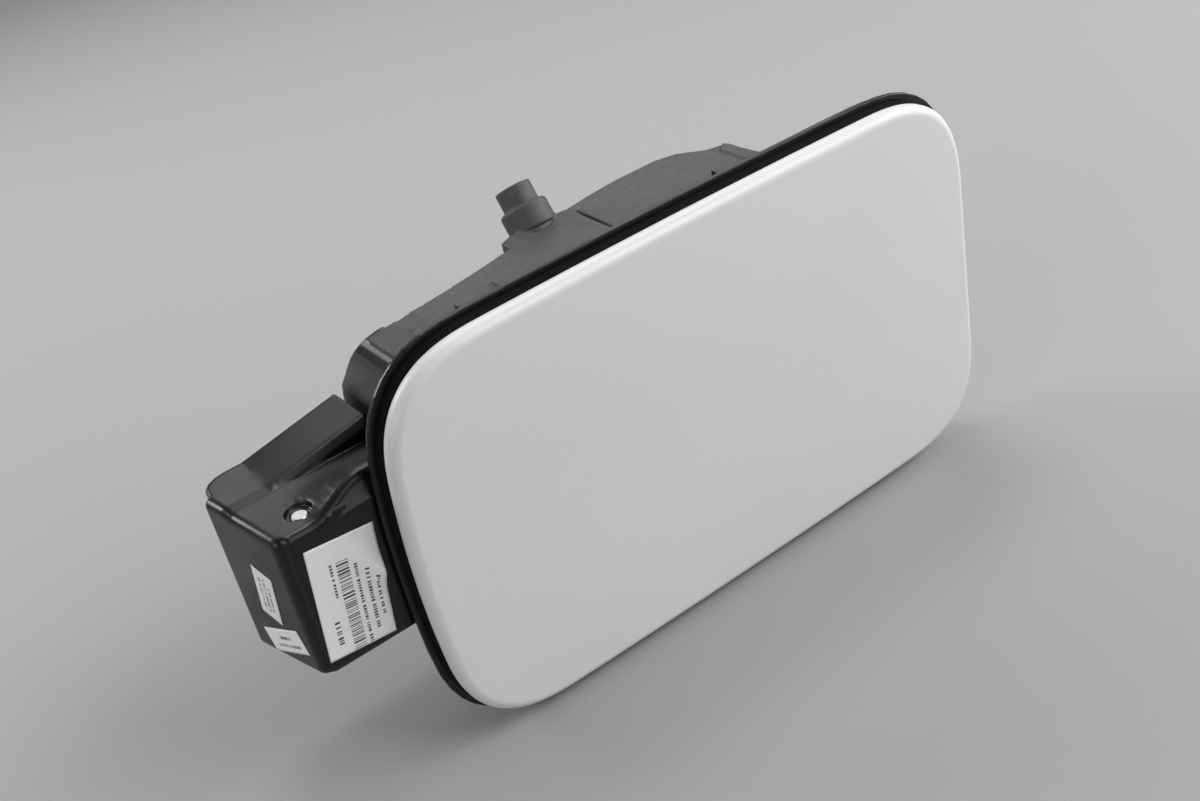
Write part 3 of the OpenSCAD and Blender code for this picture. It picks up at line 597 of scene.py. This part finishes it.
def outline(grow):
    """Points round the flap in X and Z, grown outward by grow, in mm."""
    half_w, half_h = FLAP_HALF_W + grow, FLAP_HALF_H + grow
    lock, hinge = LOCK_CORNER + grow, HINGE_CORNER + grow
    corners = [
        (half_w - lock, half_h - lock, lock), (hinge - half_w, half_h - hinge, hinge),
        (hinge - half_w, hinge - half_h, hinge), (half_w - lock, lock - half_h, lock),
    ]
    loop = []
    for k, corner in enumerate(corners):
        loop.extend(on_corner(*corner, k + i / CORNER_STEPS) for i in range(CORNER_STEPS + 1))
        steps = LONG_STEPS if k % 2 == 0 else SHORT_STEPS
        start = np.array(loop[-1])
        end = np.array(on_corner(*corners[(k + 1) % 4], k + 1))
        loop.extend(tuple(start + (end - start) * i / steps) for i in range(1, steps))
    bowed = []
    for x, z in loop:
        out = x / half_w * HINGE_BOW * (1 - (z / half_h) ** 2) if x < 0 else 0.0
        bowed.append((x + out, z + z / half_h * LONG_BOW * (1 - (x / half_w) ** 2)))
    return bowed


print(len(outline(0)), "points round the flap")

# %% [markdown]
# ## Lofts
# A loft is a stack of rings with the same number of points, joined by strips of faces. It can end in two
# points, which close a shell, or run back into its first ring, which makes a closed channel. The skin and
# the seal are both lofts along the outline.

# %% Lofting
def ring(grow, y, scale=1.0):
    return [(x * scale, y, z * scale) for x, z in outline(grow)]


def loft(rings, closed=False, caps=None):
    """Points and faces of a skin through the rings. caps are the end points of a closed shell."""
    count = len(rings[0])
    points = [p for one in rings for p in one]
    last = len(rings) if closed else len(rings) - 1
    faces = []
    for k in range(last):
        a, b = k * count, (k + 1) % len(rings) * count
        faces.extend((a + i, a + (i + 1) % count, b + (i + 1) % count, b + i) for i in range(count))
    if caps:
        points.extend(caps)
        first, final = len(points) - 2, len(points) - 1
        top = (len(rings) - 1) * count
        faces.extend((first, (i + 1) % count, i) for i in range(count))
        faces.extend((top + i, top + (i + 1) % count, final) for i in range(count))
    return points, faces


# %% [markdown]
# ## The flap's skin
# The skin is a shell with a crowned face and a rolled edge. Its CAD solid has few facets, which a smooth
# painted face would show, so it is lofted again here from the same line with many more steps. The rings run
# from the middle of the face outward, over the rolled edge, round the skirt's lip and back inside. All
# its measures are in mm.

# %% Skin
EDGE_ROLL = 3.4
FACE_FRONT = 3.6
SKIN_T = 2.0
LIP_R = 0.5
# How far the middle of the lip's rounding lies from its corner
LIP_CUT = 0.15
SKIRT_BACK = flap_high.y / MM
FACE_CROWN = -flap_low.y / MM - FACE_FRONT
CROWN_RINGS = (0.06, 0.2, 0.4, 0.6, 0.78, 0.9, 0.97)
OUTER_STEPS = 14
INNER_STEPS = 6


def crowned(y, share):
    """Ring on the crowned face, at a share of the way from its middle to its edge."""
    return ring(-EDGE_ROLL, y - FACE_CROWN * (1 - share * share), share)


def rolled(radius, steps):
    """Rings round the rolled edge, from the face to the skirt."""
    turns = [math.radians(90 * k / steps) for k in range(steps + 1)]
    roll_y = EDGE_ROLL - FACE_FRONT
    return [ring(radius * math.sin(a) - EDGE_ROLL, roll_y - radius * math.cos(a)) for a in turns]


def flap_skin():
    inside = SKIN_T - FACE_FRONT
    lip = [
        (0, LIP_R), (-LIP_CUT, LIP_CUT), (-LIP_R, 0),
        (LIP_R - SKIN_T, 0), (LIP_CUT - SKIN_T, LIP_CUT), (-SKIN_T, LIP_R),
    ]
    rings = [crowned(-FACE_FRONT, share) for share in CROWN_RINGS]
    rings += rolled(EDGE_ROLL, OUTER_STEPS)
    rings += [ring(grow, SKIRT_BACK - short) for grow, short in lip]
    rings += rolled(EDGE_ROLL - SKIN_T, INNER_STEPS)[::-1]
    rings += [crowned(inside, share) for share in CROWN_RINGS[::-1]]
    ends = [(0, -FACE_FRONT - FACE_CROWN, 0), (0, inside - FACE_CROWN, 0)]
    return mesh_from("flap_outer_skin", *loft(rings, caps=ends))


add_piece("flap_outer_skin", flap_skin(), "flap_skin")

# %% [markdown]
# ## The seal
# The seal is a rubber channel pushed on the rim's inner edge, with a thin lip that stands up behind the
# flap's skirt. It is one cross-section carried round the outline. Each point of the section is a growth and
# a depth, and the loft is closed both ways, like a ring.

# %% Rim seal
def rim_seal():
    seal_low, seal_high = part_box("rim_seal")
    front, back = seal_low.y / MM, seal_high.y / MM
    # How far outside the flap's outline and how deep, in mm: the lip, its foot, then the channel
    section = [
        (0.6, 5.55), (0.6, 4.95), (0.5, 4.3), (0.3, 3.4), (0.06, 2.6), (-0.1, front + 0.12),
        (-0.3, front), (-0.52, front + 0.12), (-0.64, 2.7), (-0.72, 3.6), (-0.86, 4.35),
        (-1.3, 4.68), (-2.2, 4.7), (-4.9, 4.7), (-5.3, 4.85), (-5.5, 5.3), (-5.5, 7.8),
        (-5.36, back - 0.08), (-5.0, back), (-4.6, back), (-4.42, back - 0.12), (-4.4, 7.5),
        (-4.6, 7.35), (-4.62, 5.7), (-4.5, 5.58), (0.5, 5.58),
    ]
    return mesh_from("rim_lip_seal", *loft([ring(g, y) for g, y in section], closed=True))


add_piece("rim_lip_seal", rim_seal(), "rim_seal")

# %% [markdown]
# ## Labels
# The labels are thin paper, stuck on by hand, so they lie a little crooked, and the large one has lifted in
# a fold. Each is a fine grid in its own two directions, bent by a small height function. The print is made
# of thin quads just above the paper. They follow the same height function, so they stay on the paper
# wherever that bends. An image would be easier, but geometry stays sharp at any distance.

# %% A label's sheet and print
INK_LIFT = 0.03
PAPER_CELL = 0.8
LABEL_T = 0.2


class Label:
    """A sheet with its centre, its own right and up directions and its outward normal, all in mm."""

    def __init__(self, node, right, up, lift):
        low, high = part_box(node)
        self.centre = (low + high) / (2 * MM)
        self.right = Vector(right).normalized()
        self.up = Vector(up).normalized()
        self.out = self.right.cross(self.up).normalized()
        self.lift = lift
        self.node = node

    def at(self, u, v, above):
        return self.centre + self.right * u + self.up * v + self.out * (above + self.lift(u, v))

    def sheet(self, name, width, height):
        columns, rows = math.ceil(width / PAPER_CELL), math.ceil(height / PAPER_CELL)
        us = np.linspace(-width / 2, width / 2, columns + 1)
        vs = np.linspace(-height / 2, height / 2, rows + 1)
        top = [self.at(u, v, LABEL_T / 2) for v in vs for u in us]
        under = [self.at(u, v, -LABEL_T / 2) for v in vs for u in us]
        wide = columns + 1
        faces = []
        for r in range(rows):
            for c in range(columns):
                a = r * wide + c
                faces.append((a, a + 1, a + wide + 1, a + wide))
                b = a + len(top)
                faces.append((b, b + wide, b + wide + 1, b + 1))
        edge = list(range(wide))
        edge += [r * wide + columns for r in range(1, rows + 1)]
        edge += [rows * wide + c for c in range(columns - 1, -1, -1)]
        edge += [r * wide for r in range(rows - 1, 0, -1)]
        shift = len(top)
        for a, b in zip(edge, edge[1:] + edge[:1]):
            faces.append((b, a, a + shift, b + shift))
        add_piece(name, mesh_from(name, top + under, faces), self.node)

    def print_marks(self, name, marks):
        """Each mark is the left, low, width and height of a field of ink."""
        points, faces = [], []
        for left, low, width, height in marks:
            steps = max(1, math.ceil(max(width, height) / PAPER_CELL))
            along_u = width >= height
            start = len(points)
            for k in range(steps + 1):
                share = k / steps
                for side in (0, 1):
                    u = left + (width * share if along_u else width * side)
                    v = low + (height * side if along_u else height * share)
                    points.append(self.at(u, v, LABEL_T / 2 + INK_LIFT))
            for k in range(steps):
                a = start + 2 * k
                faces.append((a, a + 2, a + 3, a + 1) if along_u else (a, a + 1, a + 3, a + 2))
        add_piece(name, mesh_from(name, points, faces), self.node, finish=INK, stands_in=False)


# %% [markdown]
# The print is generic. A bar is a field of ink across a column, and a line of print is a row of short
# strokes and gaps, which reads as text from a step away. Their lengths are drawn at random from a seed, so
# each run gives the same ones.

# %% Bars and strokes
STROKE_RUN = (0.35, 0.8)
STROKE_GAPS = (0.4, 0.4, 1.1)
SHORTEST_REST = 0.6
BAR_THICKS = (0.24, 0.24, 0.42, 0.65)
BAR_GAPS = (0.3, 0.45, 0.6, 0.8)


def strokes(chance, left, low, length, height, upright=False):
    marks, at = [], 0.0
    while at < length - SHORTEST_REST:
        run = min(chance.uniform(*STROKE_RUN), length - at)
        marks.append((left, low + at, height, run) if upright else (left + at, low, run, height))
        at += run + chance.choice(STROKE_GAPS)
    return marks


def bars(chance, left, low, width, length):
    marks, at = [], 0.0
    while at < length:
        thick = chance.choice(BAR_THICKS)
        marks.append((left, low + at, width, thick))
        at += thick + chance.choice(BAR_GAPS)
    return marks


# %% [markdown]
# The large label was put on last, so it has taken the handling: a fold stands up from its top edge to its
# right edge. Its height grows along the fold and falls off like a bell across it. A small crumple lies
# beside its end. In the label's own measures, u runs to the right and v up, in mm from the middle.

# %% The large label's fold
FOLD_TOP = Vector((-3.2, 20.0))
FOLD_SIDE = Vector((11.25, 4.0))
FOLD_RISE = 1.9
FOLD_HALF_WIDTH = 3.2
FOLD_GROWTH = 1.6
FOLD_REACH = 1.1
CRUMPLE_AT = Vector((9.5, 1.5))
CRUMPLE_HALF_U = 2.6
CRUMPLE_HALF_V = 3.4
CRUMPLE_RISE = 0.28
# Height of each wave in mm, and how fast it runs along u and along v
CRUMPLE_WAVES = [(0.16, 2.6, 1.4), (0.1, -1.1, 3.4)]


def fold(u, v):
    line = FOLD_SIDE - FOLD_TOP
    along = line.normalized()
    from_top = Vector((u, v)) - FOLD_TOP
    share = from_top.dot(along) / line.length
    across = (from_top.x * along.y - from_top.y * along.x) / FOLD_HALF_WIDTH
    grown = min(max(share, 0.0), FOLD_REACH) ** FOLD_GROWTH
    return FOLD_RISE * grown * math.exp(-across * across)


def crumple(u, v):
    off_u = (u - CRUMPLE_AT.x) / CRUMPLE_HALF_U
    off_v = (v - CRUMPLE_AT.y) / CRUMPLE_HALF_V
    waves = sum(rise * math.sin(fast_u * u + fast_v * v) for rise, fast_u, fast_v in CRUMPLE_WAVES)
    return math.exp(-off_u ** 2 - off_v ** 2) * (CRUMPLE_RISE + waves)


def large_label_lift(u, v):
    return fold(u, v) + crumple(u, v)


print("the fold rises", round(fold(FOLD_SIDE.x, FOLD_SIDE.y), 2), "mm at the label's edge")

# %% [markdown]
# The large label leans with its top towards the flap. Its print is one column of bars with three lines of
# print on its right and two on its left, all running up the label.

# %% Large label
LARGE_TURN = math.radians(-5.5)
LARGE_RIGHT = (math.cos(LARGE_TURN), 0, math.sin(LARGE_TURN))
LARGE_UP = (-math.sin(LARGE_TURN), 0, math.cos(LARGE_TURN))
LARGE_SIZE = (22.5, 40.0)
BAR_COLUMN = (-2.8, -19.4, 3.9, 32.0)
# Left, low, length and height of each line of print
PRINT_LINES = [
    (2.5, -19.4, 29, 1.0), (5.5, -15.8, 23, 1.2), (8.3, -12.0, 15, 1.0),
    (-4.9, 0.6, 12, 0.8), (-7.3, -15.6, 9, 1.7),
]
LARGE_SEED = 4

large = Label("part_label", LARGE_RIGHT, LARGE_UP, large_label_lift)
large.sheet("part_label_paper", *LARGE_SIZE)
chance = random.Random(LARGE_SEED)
marks = bars(chance, *BAR_COLUMN)
for line in PRINT_LINES:
    marks += strokes(chance, *line, upright=True)
large.print_marks("part_label_print", marks)

# %% [markdown]
# The two small labels lie flat on the slanting end face. Their directions come from that face: along it
# towards the front, and up it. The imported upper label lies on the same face, and the direction in which its
# points spread the most, seen from above, is the face's own. Both labels are crooked, the lower one more.

# %% Small labels
UP = Vector((0, 0, 1))


def end_direction():
    """Direction along the end face, towards the front."""
    points = np.array([v.co for v in frame["nodes"]["upper_test_label"].data.vertices])
    flat = points[:, :2] - points[:, :2].mean(0)
    main = np.linalg.eigh(flat.T @ flat)[1][:, 1]
    towards_front = 1 if main[1] < 0 else -1
    return Vector((main[0], main[1], 0.0)) * towards_front


def end_label(node, degrees, width, height, seed, lines):
    """A small label, turned clockwise as seen from outside."""
    along = end_direction()
    turn = math.radians(-degrees)
    right = along * math.cos(turn) + UP * math.sin(turn)
    raised = UP * math.cos(turn) - along * math.sin(turn)
    label = Label(node, right, raised, lambda u, v: 0.0)
    label.sheet(node + "_paper", width, height)
    chance = random.Random(seed)
    marks = []
    for left, low, length, size, upright in lines:
        marks += strokes(chance, left, low, length, size, upright)
    label.print_marks(node + "_print", marks)


# Left, low, length and height of each line of print, and if it runs up the label
UPPER_LINES = [(-2.6, -6.5, 13, 1.0, True), (-0.5, -7, 14, 1.0, True), (1.6, -6, 11, 1.0, True)]
LOWER_LINES = [(-3.5, 0.4, 8, 1.2, False), (-7, -2.4, 15, 1.1, False)]
end_label("upper_test_label", degrees=12, width=9.8, height=20.0, seed=7, lines=UPPER_LINES)
end_label("lower_test_label", degrees=-21.6, width=23.5, height=8.7, seed=9, lines=LOWER_LINES)

# %% [markdown]
# ## The floor
# The part keeps its own frame and stands on its lower edge, so the floor lies just under its lowest point.
# A little more grey towards the back makes up for the lamps, which reach less far there.

# %% Floor
FLOOR_HALF = 6.0
FLOOR_GAP = 0.2 * MM
FLOOR_GREY = (0.3, 0.3, 0.304)
FLOOR_FRONT = (0.27, 0.27, 0.274)
FLOOR_BACK = (0.335, 0.335, 0.338)
FRONT_Y = -0.3
BACK_Y = 0.8


def make_floor():
    finish = Finish("studio_floor", FLOOR_GREY, 0.6, specular=0.3)
    split = finish.node("ShaderNodeSeparateXYZ")
    finish.join(finish.place, split.inputs["Vector"])
    depth = finish.spread(split.outputs["Y"], 0.0, 1.0, FRONT_Y, BACK_Y)
    finish.tint(depth, FLOOR_FRONT, FLOOR_BACK)
    grain = finish.noise(1500.0, 2.0)
    finish.bump(grain, 20 * MICRON)
    level = CAD_BOX[0].z - FLOOR_GAP
    half = FLOOR_HALF
    corners = [(-half, -half, level), (half, -half, level), (half, half, level), (-half, half, level)]
    mesh = bpy.data.meshes.new("studio_floor")
    mesh.from_pydata(corners, [], [(0, 1, 2, 3)])
    mesh.materials.append(finish.material)
    floor = bpy.data.objects.new("studio_floor", mesh)
    bpy.context.scene.collection.objects.link(floor)
    print("floor at", round(level / MM, 1), "mm")


make_floor()
